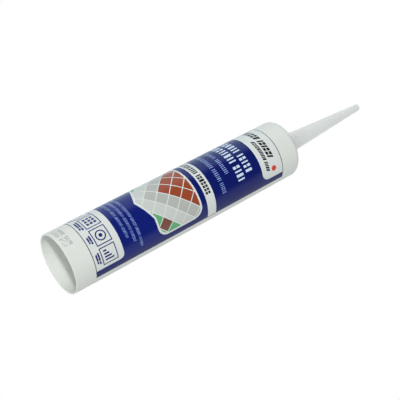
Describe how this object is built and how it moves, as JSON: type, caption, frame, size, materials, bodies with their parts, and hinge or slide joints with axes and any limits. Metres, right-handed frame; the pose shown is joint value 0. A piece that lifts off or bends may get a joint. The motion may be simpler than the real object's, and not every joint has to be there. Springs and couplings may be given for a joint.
{
  "type": "caulk tube",
  "caption": "Filled sealant cartridge: a round plastic barrel with a wrapped label, an open rear end with a sliding piston, and a tapered screw-on nozzle.",
  "frame": {"origin": "centre of the barrel's open rear rim, on the surface it stands on", "axes": "+Z along the barrel's axis towards the nozzle's tip; the middle of the label's front panel faces -Y"},
  "size_m": [0.0498, 0.0498, 0.3185],
  "materials": {
    "barrel_plastic": "satin moulded white",
    "label_film": "glossy film, navy with white panels",
    "piston_plastic": "moulded natural white",
    "sealant": "smooth paste",
    "nozzle_plastic": "milky translucent moulding"
  },
  "bodies": {
    "barrel": {"barrel": "barrel_plastic", "label": "label_film", "sealant": "sealant"},
    "piston": {"piston": "piston_plastic"},
    "nozzle": {"nozzle": "nozzle_plastic"}
  },
  "joints": [
    {"name": "piston_slide", "type": "slide", "parent": "barrel", "child": "piston", "axis": [0, 0, 1], "range_m": [0, 0.1745], "deforming": ["sealant"]},
    {"name": "nozzle_unscrew", "type": "slide", "parent": "barrel", "child": "nozzle", "axis": [0, 0, 1], "range_m": [0, 0.02]}
  ]
}
